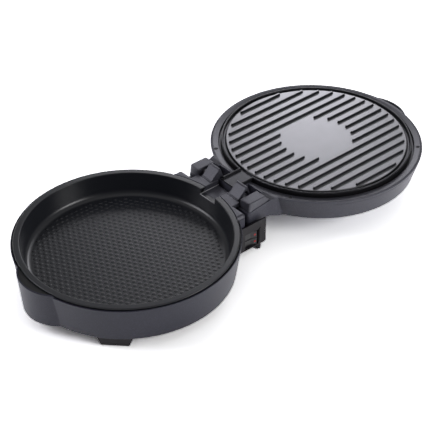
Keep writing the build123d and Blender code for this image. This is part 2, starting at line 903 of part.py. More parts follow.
def thermal_fuse():
    """Fuse tube on its saddle beside the thermostat."""
    floor = reflector_floor(pan_bottom) + reflector_sheet + play
    z = floor + saddle_floor + fuse_radius
    y = -centre_offset
    end = fuse_place + fuse_length
    tube = rod(fuse_radius, fuse_place, end, y, z)
    groove = rod(fuse_radius + play, fuse_place, end, y, z)
    reach = (fuse_place + fuse_length / 4, end - fuse_length / 4)
    saddle = block(reach, (y - saddle_width / 2, y + saddle_width / 2), (floor, z)) - groove
    return [tube, saddle]


def arm_profile(foot, front):
    """Side profile of a hinge arm: a post with a broad slope in front, up to a ridge behind the pin."""
    h = hinge_height
    toe = pan_top + play
    ridge = h + arm_ridge
    return ((front, foot, 0), (front, toe, arm_edge), (-arm_toe, toe, arm_round),
            (arm_fold, h + arm_fold_rise, arm_edge), (arm_ridge_place, ridge, arm_round),
            (arm_ridge_place + arm_ridge_width, ridge, arm_crown),
            (arm_brow, h + arm_brow_rise, arm_back), (box_rear, h, arm_back), (box_rear, foot, 0))


def arm_pocket(foot, front):
    """Side profile of the hollow in an arm's outer face, a wall's width inside its own profile."""
    h = hinge_height
    fold = h + arm_fold_rise - arm_wall * math.sqrt(2)
    rear = box_rear - arm_wall
    rise = (h + arm_fold_rise - pan_top - play) / (arm_fold + arm_toe)
    toe = fold - rise * (arm_fold - front)
    brow = h + arm_brow_rise - arm_wall / 3
    return ((front, foot, 0), (front, toe, arm_round), (arm_fold, fold, arm_round),
            (arm_brow - arm_wall, brow, arm_round), (rear, h - arm_wall / 3, arm_round), (rear, foot, 0))


def hinge_arm():
    """The arm on the +X side, hollow on its outer face, with the boss of the pin."""
    foot = box_top + play
    front = play - tongue_setback
    arm = across(arm_profile(foot, front), arm_inner, arm_outer)
    pocket_floor = arm_inner + 2 * arm_wall
    pocket = across(arm_pocket(foot + 2 * arm_wall, front + arm_wall), pocket_floor, arm_outer + play)
    pocket -= rod(pin_boss, pocket_floor - play, arm_outer, 0, hinge_height)
    arm -= pocket
    sole = ((arm_inner - play, arm_outer + arm_wall), (front - arm_wall, box_rear - arm_wall / 2))
    arm += block(*sole, (foot, foot + arm_wall))
    return arm - rod(pin_radius + pin_fit, pocket_floor, pin_end, 0, hinge_height)


def hinge_pins():
    """Steel pins from the arms into the lid's bearing blocks."""
    start = arm_inner + 2 * arm_wall + play
    pin = rod(pin_radius, start, pin_end, 0, hinge_height)
    pin = chamfer(pin.edges().filter_by(GeomType.CIRCLE), pin_chamfer)
    return [pin, mirror(pin, Plane.YZ)]


def dome(inset, top):
    """The round part of the lid shell, drawn in by inset and cut off at the height top."""
    low = crown_height + inset
    shoulder = casing_foot + inset
    shoulder_radius = casing_radius(casing_foot) - casing_edge - inset
    wall_radius = casing_radius(shoulder) - inset
    top_radius = casing_radius(top) - inset
    start = Vector(crown_radius, low)
    end = Vector(shoulder_radius, shoulder)
    chord = end - start
    lean = Vector(chord.Y, -chord.X).normalized()
    middle = (start + end) * 0.5 + lean * dome_rise
    wall_foot = (wall_radius, shoulder + casing_edge / 2)
    lines = [
        Line((0, low), start), ThreePointArc(start, middle, end), Line(end, wall_foot),
        Line(wall_foot, (top_radius, top)), Line((top_radius, top), (0, top)), Line((0, top), (0, low)),
    ]
    return Pos(0, centre_offset, 0) * revolve(Plane.XZ * make_face(lines), Axis.Z)


def slots(grow):
    """The two slots of the neck that let the hinge arms through, grown by a wall."""
    side = (slot_inner - grow, slot_outer + grow)
    return twin(block(side, (-2 * neck_reach, slot_rear + grow), (0, lid_rim + swing_gap)))


def prong_line(drop, y):
    """Height of the sloping top of the outer prongs at a distance from the hinge line."""
    slope = prong_drop / (prong_slope_end + neck_reach)
    return lid_rim - drop - slope * (prong_slope_end - y)


def above_prongs(drop):
    """What lies above the sloping top of the two outer prongs."""
    front = -2 * neck_reach
    face = ((front, prong_line(drop, front), 0), (prong_slope_end, prong_line(drop, prong_slope_end), 0),
            (prong_slope_end, block_top, 0), (front, block_top, 0))
    return twin(across(face, slot_outer - play, rim_radius))


def neck_plan(inset, z_from, z_to):
    """Forked neck in plan: two outer prongs, a short middle prong and the body behind the slots."""
    half = neck_half_width - inset
    far = centre_offset / 2
    front = -neck_reach + inset
    outer = ((slot_outer + inset, far, 0), (slot_outer + inset, front, 0), (half, front, neck_corner - inset),
             (half, flare_from, 0), (half + neck_flare, flare_to, 0), (half + neck_flare, far, 0))
    plan = twin(upward(outer, z_from, z_to))
    plan += block((-slot_inner + inset, slot_inner - inset), (prong_start + inset, far), (z_from, z_to))
    return plan + block((-slot_outer - inset, slot_outer + inset), (slot_rear + inset, far), (z_from, z_to))


def neck(inset, top):
    """The neck with its sloped underside."""
    low = neck_foot + inset
    foot = casing_foot + inset
    run_end = centre_offset - math.sqrt(casing_foot_radius ** 2 - neck_half_width ** 2) + shell_wall
    far = centre_offset / 2
    points = ((-neck_reach, low, 0), (neck_run, low, neck_bend), (run_end, foot, 0), (far, foot, 0),
              (far, top, 0), (-neck_reach, top, 0))
    return neck_plan(inset, foot - play, top) & across(points, -rim_radius, rim_radius)


def casing_round(grow, z_from, z_to):
    """The round body of the lid between two heights, grown by a gap."""
    return frustum(casing_radius(z_from) + grow, casing_radius(z_to) + grow, z_from, z_to, centre_offset)


def lid_housing():
    """Outer shell of the lid: round wall, domed back, grip bump, forked neck, ledge and bosses."""
    over = lid_rim + play
    shell = dome(0, lid_rim)
    shell += grip_bump(1, 0, casing_foot, lid_bump_top, lid_rim)
    shell = rounded_skin(shell, 1, casing_foot + casing_edge, lid_bump_top, lid_rim)
    shell += neck(0, lid_rim)
    shell -= rim_groove()
    shell -= slots(0)
    hollow = dome(shell_wall, over)
    room = grip_bump(1, shell_wall, casing_foot + shell_wall, over, lid_rim)
    hollow += room - casing_round(0, casing_foot, over)
    hollow += room & rim_gate(bump_opening() - play, casing_foot, over, centre_offset)
    hollow += neck(shell_wall, over)
    shell -= hollow - slots(shell_wall)
    ledge_foot = ledge_top - ledge_plate
    reach = casing_radius(ledge_foot) - shell_wall / 2, casing_radius(ledge_top) - shell_wall / 2
    ledge = frustum(*reach, ledge_foot, ledge_top, centre_offset)
    inner = plate_radius - play
    shell += ledge - disc(inner, 0, over, 0, centre_offset) - slots(0)
    boss_top = lid_rim - lid_frame_plate - play
    for angle in frame_screw_angles:
        x, y = around(frame_screw_circle, angle, centre_offset)
        boss = disc(frame_boss, ledge_top - play, boss_top, x, y)
        shell += boss - disc(frame_screw_shank + play, ledge_top, boss_top + play, x, y)
    return shell - above_prongs(0)


def rim_groove():
    """Fine groove round the lid's wall, below its rim."""
    z = lid_rim - groove_drop
    outer = casing_radius(z)
    mouth = outer + play
    points = ((outer - groove_cut, z, 0), (mouth, z - groove_cut, 0), (mouth, z + groove_cut, 0))
    ring = turned(points, centre_offset)
    beyond_neck = (centre_offset / 2, centre_offset + rim_radius)
    ring = ring & block((-rim_radius, rim_radius), beyond_neck, (casing_foot, lid_rim))
    return ring - grip_bump(1, -play, casing_foot, lid_rim, lid_rim)


def lid_frame():
    """Grey ring, bump cover and neck top, with the skirt of the trough."""
    foot = lid_rim - lid_frame_plate
    inset = shell_wall + play
    wall = rim_radius - inset
    frame = frustum(casing_radius(foot) - inset, wall, foot, lid_rim, centre_offset)
    near = block((-wall, wall), (-neck_reach, centre_offset / 2 - play), (foot - prong_drop, lid_rim))
    frame += (neck_plan(inset, foot, lid_rim) & near) - above_prongs(0)
    slope = neck_plan(inset, foot - prong_drop, lid_rim) & near & above_prongs(lid_frame_plate)
    frame += slope - above_prongs(0)
    frame -= slots(inset)
    frame += bump_cover(inset)
    frame += disc(lid_frame_radius + skirt_wall, skirt_foot, lid_rim, 0, centre_offset)
    frame -= disc(lid_frame_radius, skirt_foot - play, lid_rim + play, 0, centre_offset)
    for angle in frame_screw_angles:
        x, y = around(frame_screw_circle, angle, centre_offset)
        frame -= disc(frame_screw_head + play, lid_rim - frame_screw_sink - play, lid_rim + play, x, y)
        frame -= disc(frame_screw_shank + play, foot - play, lid_rim, x, y)
    inner, outer, half = bearing_span()
    hole = block((inner - play, outer + play), (-half - play, half + play), (neck_foot, lid_rim + play))
    return frame - twin(hole)


def bump_cover(inset):
    """Sunk cover of the lid's grip bump, with the wall that rises from it to the ring."""
    foot = lid_cover_top - lid_frame_plate
    wall = rim_gate(bump_opening() - 2 * play, foot, lid_rim, centre_offset)
    wall = wall & disc(rim_radius - play, foot, lid_rim, 0, centre_offset)
    cover = grip_bump(1, inset, foot, lid_cover_top, lid_rim)
    cover -= casing_round(play, foot - play, lid_cover_top + play)
    hollow = disc(rim_radius - shell_wall, 0, lid_rim - lid_frame_plate, 0, centre_offset)
    return (wall - hollow + cover) - disc(lid_frame_radius, 0, block_top, 0, centre_offset)


def frame_screws():
    """Four small screws through the lid's ring."""
    group = []
    for angle in frame_screw_angles:
        x, y = around(frame_screw_circle, angle, centre_offset)
        seat = lid_rim - frame_screw_sink
        head = disc(frame_screw_head, seat, lid_rim - play / 2, x, y)
        group.append(head + disc(frame_screw_shank, ledge_top + play, seat + play / 2, x, y))
    return group


def bearing_span():
    """Inner and outer side of the bearing under a hinge block, and its half length along Y."""
    wall = shell_wall + 2 * play
    return slot_outer + wall, neck_half_width - wall - block_strip, block_front - bearing_inset


def hinge_block():
    """Raised bearing block on the outer prong of the +X side."""
    low = lid_rim - prong_drop
    inner = slot_outer + play
    side = Plane.XZ * outline(((inner, low, 0), (block_foot_width, low, 0), (block_half_width, block_top, 0),
                               (inner, block_top, 0)))
    body = extrude(side, centre_offset / 2, both=True)
    heel = block_rear + block_heel
    rise = ((-block_front - block_toe, low, 0), (-block_front, block_top, 0), (block_rear, block_top, 0),
            (heel, prong_line(0, heel), 0), (heel, low, 0))
    body = body & across(rise, 0, rim_radius)
    corners = [edge for edge in body.edges() if is_block_corner(edge)]
    body = fillet(corners, block_corner)
    crest = [edge for edge in body.edges() if min(point.Z for point in ends(edge)) > block_top - play]
    body = fillet(crest, block_edge)
    body = body & above_prongs(-play)
    inner, outer, half = bearing_span()
    body += block((inner, outer), (-half, half), (neck_foot + shell_wall + play, lid_rim))
    return body - rod(pin_radius + pin_play, 0, pin_end + play, 0, hinge_height)


def is_block_corner(edge):
    """Whether an edge is the front corner of a block on its outer side."""
    low, _, high = sorted(point.Z for point in ends(edge))
    middle = edge @ 0.5
    return high - low > block_rise / 2 and middle.Y < -block_front and middle.X > block_half_width - play


def grill_plate():
    """Ribbed plate with its drip groove, lip, fixing skirt and spout."""
    groove_floor = plate_top - groove_depth
    groove_end = plate_radius + groove_width
    lip_top = plate_top + lip_rise
    foot = ledge_top + play
    fixing = foot + ledge_plate
    under = groove_floor - groove_wall
    fixed = lid_frame_radius - play
    points = (
        (0, plate_bottom, 0), (plate_radius - plate_step, plate_bottom, plate_round),
        (plate_radius - plate_step / 2, under, plate_round), (groove_end, under, 0), (groove_end, foot, 0),
        (fixed, foot, 0), (fixed, fixing, 0), (lip_radius, fixing, plate_round),
        (lip_radius, lip_top, lip_crown),
        (groove_end, lip_top, lip_edge), (groove_end - groove_lean, groove_floor, plate_round),
        (plate_radius + groove_lean, groove_floor, plate_round), (plate_radius, plate_top, plate_edge),
        (0, plate_top, 0),
    )
    plate = turned(points, centre_offset)
    middle_floor = lid_rim + play + spout_floor
    open_half = spout_half_width - spout_wall
    gap_start = centre_offset - lip_radius
    gap_end = gap_start + lip_width + spout_cut
    plate -= block((-open_half, open_half), (gap_start - play, gap_end), (middle_floor, lip_top + play))
    joined = centre_offset - math.sqrt((lip_radius - lip_width / 2) ** 2 - spout_half_width ** 2)
    spout = block((-spout_half_width, spout_half_width), (spout_end, joined), (lid_rim + play, middle_floor))
    run = (spout_end + spout_wall_setback, joined)
    wall = block((open_half, spout_half_width), run, (lid_rim + play, lip_top))
    crest = [edge for edge in wall.edges().filter_by(Axis.Y) if edge.center().Z > lip_top - play]
    wall = fillet(crest, lip_edge)
    spout += twin(wall)
    spout -= disc(groove_end + play, 0, block_top, 0, centre_offset)
    plate += spout
    for face in rib_faces():
        plate += Pos(0, 0, plate_top - rib_root) * extrude(face, rib_height + rib_root, taper=rib_taper)
    return plate


def rib_faces():
    """Feet of the ribs: full ones at the sides, broken ones round the plain disc."""
    faces = []
    for index in range(rib_count):
        x = (index - (rib_count - 1) / 2) * rib_pitch
        end = math.sqrt(rib_circle ** 2 - x ** 2)
        if abs(x) > plain_disc:
            faces.append(rib_foot_face(x, -end, end))
        else:
            start = math.sqrt(plain_disc ** 2 - x ** 2)
            faces.append(rib_foot_face(x, start, end))
            faces.append(rib_foot_face(x, -end, -start))
    return faces


def rib_foot_face(x, y_from, y_to):
    """Rounded foot of one rib, between two distances from the middle of the plate."""
    foot = Rot(0, 0, 90) * SlotOverall(y_to - y_from, rib_foot)
    return Pos(x, centre_offset + (y_from + y_to) / 2, 0) * foot


def lid_rest_pads():
    """Rubber buttons on the crown, on which the opened lid lies."""
    pads = []
    for angle in (45, 135, 225, 315):
        pad = disc(lid_pad_radius, 0, crown_height - play, *around(lid_pad_circle, angle, centre_offset))
        pads.append(fillet(pad.edges().group_by(Axis.Z)[0], lid_pad_edge))
    return pads


def save(name, shape):
    """Write one node, whose solids may be given as a list."""
    solids = []
    for item in shape if isinstance(shape, list) else [shape]:
        solids.extend(item.solids())
    whole = solids[0] if len(solids) == 1 else Compound(children=solids)
    export_step(whole, os.path.join("parts", name + ".step"))


def main():
    """Build every node."""
    os.makedirs("parts", exist_ok=True)
    ring_height = pan_bottom - play - tube_radius
    lid_ring_height = plate_bottom - play - tube_radius
    lower_floor = reflector_floor(pan_bottom) + reflector_sheet
    upper_floor = reflector_floor(plate_bottom) + reflector_sheet
    lower_level = lower_rocker_height
    upper_level = lower_rocker_height + rocker_pitch
    arm = hinge_arm()
    bearing = hinge_block()
    save("base_housing", base_housing())
    save("base_frame", base_frame())
    save("rear_deck", rear_deck())
    save("base_pan", base_pan())
    save("bottom_cover", bottom_cover())
    save("base_screws", base_screws())
    save("front_feet", front_feet())
    save("foot_pads", foot_pads())
    save("rear_feet", rear_feet())
    save("rear_box", rear_box())
    save("left_box_panel", side_panel())
    save("switch_bezel", switch_bezel())
    save("upper_rocker", rocker(upper_level) - lens(upper_level, lens_fit))
    save("lower_rocker", rocker(lower_level) - lens(lower_level, lens_fit))
    save("upper_lens", lens(upper_level))
    save("lower_lens", lens(lower_level))
    save("switch_modules", switch_modules())
    save("terminal_block", terminal_block())
    save("cord_gland", cord_gland())
    save("lower_reflector", lower_reflector())
    save("lower_element", heating_ring(ring_height, -centre_offset, 1))
    save("lower_element_clips", ring_clips(ring_height, lower_floor, -centre_offset, 1))
    save("lower_thermostat", thermostat(pan_bottom, -centre_offset))
    save("thermal_fuse", thermal_fuse())
    save("right_hinge_arm", arm)
    save("left_hinge_arm", mirror(arm, Plane.YZ))
    save("hinge_pins", hinge_pins())
    save("lid_housing", lid_housing())
    save("lid_frame", lid_frame())
    save("frame_screws", frame_screws())
    save("right_hinge_block", bearing)
    save("left_hinge_block", mirror(bearing, Plane.YZ))
    save("grill_plate", grill_plate())
    save("upper_reflector", upper_reflector())
    save("upper_element", heating_ring(lid_ring_height, centre_offset, -1))
    save("upper_element_clips", ring_clips(lid_ring_height, upper_floor, centre_offset, -1))
    save("upper_thermostat", thermostat(plate_bottom, centre_offset))
    save("lid_rest_pads", lid_rest_pads())


main()
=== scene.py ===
"""Looks of a pizza maker that lies opened flat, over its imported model.

Lengths are in metres in the frame of the model: +Z up, the hinge line over the
origin along X, the pan half towards -Y and the opened lid half towards +Y.
"""

import logging
import math
from dataclasses import dataclass, field
from enum import Enum

import bmesh
import bpy
from mathutils import Matrix, Vector


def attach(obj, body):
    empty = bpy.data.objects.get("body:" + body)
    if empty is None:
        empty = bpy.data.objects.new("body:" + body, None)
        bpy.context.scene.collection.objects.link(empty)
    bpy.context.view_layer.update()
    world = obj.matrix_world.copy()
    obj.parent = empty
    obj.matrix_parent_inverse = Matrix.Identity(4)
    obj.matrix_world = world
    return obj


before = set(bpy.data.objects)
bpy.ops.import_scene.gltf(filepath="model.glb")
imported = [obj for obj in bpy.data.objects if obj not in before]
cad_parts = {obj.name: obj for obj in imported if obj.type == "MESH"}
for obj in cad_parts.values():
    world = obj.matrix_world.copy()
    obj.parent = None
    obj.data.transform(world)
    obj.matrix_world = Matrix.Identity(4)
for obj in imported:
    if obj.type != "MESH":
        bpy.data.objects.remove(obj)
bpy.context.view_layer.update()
LOG = logging.getLogger("pizza_maker")
MM = 0.001
HALF_OFFSET = 183.7 * MM

Socket = bpy.types.NodeSocket
Levels = tuple[int, int, int]
Triple = tuple[float, float, float]
Colour = tuple[float, float, float, float]

# Display levels to linear light
TOP_LEVEL = 255
CURVE_FOOT = 0.04045
FOOT_SLOPE = 12.92
CURVE_SHIFT = 0.055
CURVE_SCALE = 1.055
CURVE_POWER = 2.4

# Pattern of the finishes
BLOTCH_SIZE = 18 * MM
BLOTCH_DETAIL = 3.0
SPRAYED_DETAIL = 4.0
OTHER_DETAIL = 1.5
BRUSHED_STRETCH = (0.08, 1.0, 1.0)
NO_STRETCH = (1.0, 1.0, 1.0)
FULL_STRENGTH = 1.0
ROUND_SAMPLES = 8

# Light
PLAIN_LIGHT = (1.0, 1.0, 1.0)
COOL_LIGHT = (0.98, 0.975, 1.03)
LAMP_AIM = (0, 0, 0.05)


def linear(level: float) -> float:
    """Linear light of an 8-bit display level."""
    share = level / TOP_LEVEL
    if share <= CURVE_FOOT:
        return share / FOOT_SLOPE
    return ((share + CURVE_SHIFT) / CURVE_SCALE) ** CURVE_POWER


@dataclass(frozen=True)
class Step:
    """Turns a value that runs from start to end into one that runs from low to high."""

    start: float
    end: float
    low: float = 0.0
    high: float = 1.0
    smooth: bool = False


@dataclass(frozen=True)
class Graph:
    """Node tree of a material or of the surroundings, with short ways to add to it."""

    tree: bpy.types.NodeTree

    def feed(self, source: Socket | Triple | Colour, target: Socket) -> None:
        """Links a socket to an input, or sets the input to a fixed value.

        Args:
            source: The socket or the value.
            target: The input that gets it.
        """
        if isinstance(source, Socket):
            self.tree.links.new(source, target)
        else:
            target.default_value = source

    def coordinates(self, name: str) -> Socket:
        """Coordinates or direction of the place that is shaded.

        Args:
            name: Which ones, such as Object or Generated.

        Returns:
            The socket that carries them.
        """
        return self.tree.nodes.new("ShaderNodeTexCoord").outputs[name]

    def stretched(self, scale: Triple) -> Socket:
        """Object coordinates, stretched along each axis.

        Args:
            scale: Stretch along each axis.

        Returns:
            The socket that carries them.
        """
        mapping = self.tree.nodes.new("ShaderNodeMapping")
        self.feed(scale, mapping.inputs["Scale"])
        self.feed(self.coordinates("Object"), mapping.inputs["Vector"])
        return mapping.outputs["Vector"]

    def height(self, source: Socket) -> Socket:
        """The Z part of a vector.

        Args:
            source: The vector.

        Returns:
            The socket that carries it.
        """
        split = self.tree.nodes.new("ShaderNodeSeparateXYZ")
        self.feed(source, split.inputs["Vector"])
        return split.outputs["Z"]

    def vector_math(self, operation: str, *parts: Socket | Triple) -> bpy.types.Node:
        """Works with vectors.

        Args:
            operation: Name of the operation.
            parts: What it works on, in order.

        Returns:
            The node, with a Vector and a Value output.
        """
        node = self.tree.nodes.new("ShaderNodeVectorMath")
        node.operation = operation
        for part, target in zip(parts, node.inputs):
            self.feed(part, target)
        return node

    def join(self, operation: str, first: Socket, second: Socket) -> Socket:
        """Joins two numbers, such as their sum, product or larger one.

        Args:
            operation: Name of the operation.
            first: One number.
            second: The other number.

        Returns:
            The socket that carries the result.
        """
        node = self.tree.nodes.new("ShaderNodeMath")
        node.operation = operation
        self.feed(first, node.inputs[0])
        self.feed(second, node.inputs[1])
        return node.outputs["Value"]

    def ramp(self, source: Socket, step: Step) -> Socket:
        """Maps a number through a step.

        Args:
            source: The number.
            step: Where the step lies and what it gives.

        Returns:
            The socket that carries the result.
        """
        node = self.tree.nodes.new("ShaderNodeMapRange")
        node.interpolation_type = "SMOOTHSTEP" if step.smooth else "LINEAR"
        node.inputs["From Min"].default_value = step.start
        node.inputs["From Max"].default_value = step.end
        node.inputs["To Min"].default_value = step.low
        node.inputs["To Max"].default_value = step.high
        self.feed(source, node.inputs["Value"])
        return node.outputs["Result"]

    def blend(self, first: Socket | Colour, second: Socket | Colour, share: Socket) -> Socket:
        """Blends two colours.

        Args:
            first: The colour at a share of 0.
            second: The colour at a share of 1.
            share: How much of the second colour there is.

        Returns:
            The socket that carries the colour.
        """
        node = self.tree.nodes.new("ShaderNodeMix")
        node.data_type = "RGBA"
        self.feed(first, node.inputs["A"])
        self.feed(second, node.inputs["B"])
        self.feed(share, node.inputs["Factor"])
        return node.outputs["Result"]

    def noise(self, size: float, detail: float, scale: Triple = NO_STRETCH) -> Socket:
        """A noise of the given size on Object coordinates.

        Args:
            size: Width of one blotch.
            detail: How many finer layers the noise has.
            scale: Stretch along each axis.

        Returns:
            The socket that carries the noise, from 0 to 1.
        """
        texture = self.tree.nodes.new("ShaderNodeTexNoise")
        texture.inputs["Scale"].default_value = 1 / size
        texture.inputs["Detail"].default_value = detail
        self.feed(self.stretched(scale), texture.inputs["Vector"])
        return texture.outputs["Fac"]

    def bump(self, height: Socket, depth: float) -> bpy.types.Node:
        """Tilts the surface by a height.

        Args:
            height: The height, from 0 to 1.
            depth: How far the surface rises from 0 to 1.

        Returns:
            The node, which can take another tilt below it in Normal.
        """
        node = self.tree.nodes.new("ShaderNodeBump")
        node.inputs["Strength"].default_value = FULL_STRENGTH
        node.inputs["Distance"].default_value = depth
        self.feed(height, node.inputs["Height"])
        return node

    def lid_radius(self) -> Socket:
        """Distance from the upright line through the middle of the lid.

        Returns:
            The socket that carries the distance.
        """
        centred = self.vector_math("SUBTRACT", self.coordinates("Object"), (0, HALF_OFFSET, 0))
        flat = self.vector_math("MULTIPLY", centred.outputs["Vector"], (1, 1, 0))
        return self.vector_math("LENGTH", flat.outputs["Vector"]).outputs["Value"]


class Grain(Enum):
    """Fine surface of a finish."""

    NONE = "none"
    MOULDED = "moulded"
    SPRAYED = "sprayed"
    BRUSHED = "brushed"


@dataclass(frozen=True)
class Finish:
    """A plain finish: one colour with fine grain and a little unevenness."""

    name: str
    colour: Levels
    roughness: float
    metallic: float = 0.0
    specular: float = 0.5
    grain: Grain = Grain.MOULDED
    grain_size: float = 0.9 * MM
    grain_depth: float = 0.010 * MM
    unevenness: float = 0.06
    edge_round: float = 0.0

    def material(self) -> bpy.types.Material:
        """Builds the finish once and hands the same material out again.

        Returns:
            The material of this finish.
        """
        made = bpy.data.materials.get(self.name)
        if made:
            return made
        made = bpy.data.materials.new(self.name)
        made.use_nodes = True
        graph = Graph(made.node_tree)
        shader = graph.tree.nodes["Principled BSDF"]
        shader.inputs["Roughness"].default_value = self.roughness
        shader.inputs["Metallic"].default_value = self.metallic
        shader.inputs["Specular IOR Level"].default_value = self.specular
        graph.feed(self.colour_pattern(graph), shader.inputs["Base Color"])
        if self.grain is not Grain.NONE:
            graph.feed(self.surface_grain(graph), shader.inputs["Normal"])
        return made

    def shade(self, factor: float) -> Colour:
        """The colour in linear light, made darker or lighter by a factor."""
        red, green, blue = (linear(level) * factor for level in self.colour)
        return red, green, blue, 1.0

    def colour_pattern(self, graph: Graph) -> Socket:
        """The colour with a little unevenness.

        Args:
            graph: The node tree that is being built.

        Returns:
            The socket that carries the colour.
        """
        blotches = graph.noise(BLOTCH_SIZE, BLOTCH_DETAIL)
        return graph.blend(self.shade(1 - self.unevenness), self.shade(1 + self.unevenness), blotches)

    def surface_grain(self, graph: Graph) -> Socket:
        """The fine relief of the finish, over edges that are rounded where it asks for that.

        Args:
            graph: The node tree that is being built.

        Returns:
            The socket that carries the tilt of the surface.
        """
        stretch = BRUSHED_STRETCH if self.grain is Grain.BRUSHED else NO_STRETCH
        detail = SPRAYED_DETAIL if self.grain is Grain.SPRAYED else OTHER_DETAIL
        bump = graph.bump(graph.noise(self.grain_size, detail, stretch), self.grain_depth)
        if self.edge_round:
            soft = graph.tree.nodes.new("ShaderNodeBevel")
            soft.samples = ROUND_SAMPLES
            soft.inputs["Radius"].default_value = self.edge_round
            graph.feed(soft.outputs["Normal"], bump.inputs["Normal"])
        return bump.outputs["Normal"]


@dataclass(frozen=True)
class FlakeFinish(Finish):
    """Plastic with fine metal flakes that catch the light one by one."""

    flake_size: float = 0.7 * MM
    flake_lift: float = 0.5
    flake_share: Step = Step(0.55, 1.0)

    def colour_pattern(self, graph: Graph) -> Socket:
        """The colour with slightly lighter flakes scattered through it.

        Args:
            graph: The node tree that is being built.

        Returns:
            The socket that carries the colour.
        """
        cells = graph.tree.nodes.new("ShaderNodeTexVoronoi")
        cells.inputs["Scale"].default_value = 1 / self.flake_size
        graph.feed(graph.stretched(NO_STRETCH), cells.inputs["Vector"])
        flakes = graph.ramp(cells.outputs["Color"], self.flake_share)
        return graph.blend(self.shade(1 - self.unevenness), self.shade(1 + self.flake_lift), flakes)


@dataclass(frozen=True)
class DishedFinish(FlakeFinish):
    """Flake plastic that looks as if the lid's ring rose gently towards its outer edge."""

    inner: float = 142.0 * MM
    outer: float = 158.0 * MM
    slope: float = 0.21

    def surface_grain(self, graph: Graph) -> Socket:
        """The fine relief and, over it, the rise of the ring.

        Args:
            graph: The node tree that is being built.

        Returns:
            The socket that carries the tilt of the surface.
        """
        grain = super().surface_grain(graph)
        rise = graph.ramp(graph.lid_radius(), Step(self.inner, self.outer))
        bump = graph.bump(rise, self.slope * (self.outer - self.inner))
        graph.feed(grain, bump.inputs["Normal"])
        return bump.outputs["Normal"]


@dataclass(frozen=True)
class PlateFinish(Finish):
    """Plate coating, light on the flat faces, with painted shade that darkens the rib sides, rim and
    spout.
    """

    # Painted shade: the colour laid on the steep rib sides and beyond the rim, over the rim, groove and
    # spout.
    dark: Levels = (58, 58, 62)
    rim: Step = Step(137.0 * MM, 139.0 * MM)
    painted_shade_steepness: Step = Step(0.93, 0.45)

    def colour_pattern(self, graph: Graph) -> Socket:
        """The colour with painted shade: a darker tone on steep places and beyond the rim.

        Args:
            graph: The node tree that is being built.

        Returns:
            The socket that carries the colour.
        """
        light = super().colour_pattern(graph)
        # Painted shade on steep faces, such as the sides of the ribs.
        side = graph.ramp(graph.height(graph.coordinates("Normal")), self.painted_shade_steepness)
        # Painted shade beyond the rim, over the rim, groove and spout.
        edge = graph.ramp(graph.lid_radius(), self.rim)
        dark = tuple(linear(level) for level in self.dark) + (1.0,)
        return graph.blend(light, dark, graph.join("MAXIMUM", side, edge))


@dataclass(frozen=True)
class LampFinish(Finish):
    """Tinted clear plastic of a lamp window."""

    transmission: float = 0.1

    def material(self) -> bpy.types.Material:
        """The plain finish, made partly clear.

        Returns:
            The material of this finish.
        """
        made = super().material()
        shader = made.node_tree.nodes["Principled BSDF"]
        shader.inputs["Transmission Weight"].default_value = self.transmission
        return made


# Plastics
SHELL = FlakeFinish("graphite shell", (48, 48, 63), 0.42, specular=0.3)
# Painted light: the same graphite paint as the shell, made lighter because the lid's walls catch more
# light than the base's.
LID_SHELL_PAINTED_LIGHT = FlakeFinish("graphite shell with painted light for the lid", (82, 82, 94), 0.42, specular=0.35)
GREY = FlakeFinish("grey frame", (84, 84, 93), 0.32, metallic=0.25, edge_round=1.4 * MM)
RING = DishedFinish("grey dished ring", (68, 68, 76), 0.33, metallic=0.25, edge_round=1.0 * MM)
BLACK = Finish("black inner frame", (20, 20, 22), 0.55)
BOX = Finish(
    "charcoal hinge box", (32, 28, 34), 0.42, specular=0.25, edge_round=0.8 * MM,
    grain_size=0.7 * MM, grain_depth=0.02 * MM,
)
ROCKER = Finish("rocker plastic", (38, 36, 40), 0.3)
LENS = LampFinish("red lamp window", (215, 30, 30), 0.2, grain=Grain.NONE)
RUBBER = Finish("rubber", (38, 38, 39), 0.8, specular=0.3)
TERMINAL = Finish("terminal plastic", (208, 205, 190), 0.5)
THERMOSTAT = Finish("thermostat body", (150, 138, 124), 0.6)
CERAMIC = Finish("ceramic", (214, 209, 196), 0.7)

# Coatings
PAN = Finish(
    "dark pan coating", (36, 38, 45), 0.28, specular=0.8, edge_round=1.0 * MM,
    grain=Grain.SPRAYED, grain_size=0.5 * MM, grain_depth=0.015 * MM,
)
PLATE = PlateFinish(
    "grey plate coating", (128, 128, 131), 0.28, metallic=0.6, edge_round=0.8 * MM,
    grain=Grain.SPRAYED, grain_size=0.5 * MM, grain_depth=0.015 * MM,
)
# Painted highlight: near white, stands for the glint along the edge of the pan's notch.
NOTCH_HIGHLIGHT = Finish("painted highlight on notch edge", (225, 225, 230), 0.3, grain=Grain.NONE)

# Metals
STEEL = Finish(
    "steel", (170, 170, 172), 0.3, metallic=1.0,
    grain=Grain.BRUSHED, grain_size=0.3 * MM, grain_depth=0.004 * MM,
)
DARK_STEEL = Finish(
    "blackened screw steel", (40, 40, 42), 0.4, metallic=0.8,
    grain=Grain.BRUSHED, grain_size=0.3 * MM, grain_depth=0.004 * MM,
)
TUBE = Finish("heater tube", (88, 84, 80), 0.5, metallic=0.8, unevenness=0.2)
SHEET = Finish(
    "reflector sheet", (190, 190, 192), 0.35, metallic=1.0,
    grain=Grain.BRUSHED, grain_size=0.4 * MM, grain_depth=0.006 * MM,
)


def dress(node: str, finish: Finish) -> None:
    """Puts a finish on a node of the model.

    Args:
        node: Name of the node.
        finish: The finish that it gets.
    """
    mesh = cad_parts[node].data
    mesh.materials.clear()
    mesh.materials.append(finish.material())
    LOG.info("%s: %s", node, finish.name)


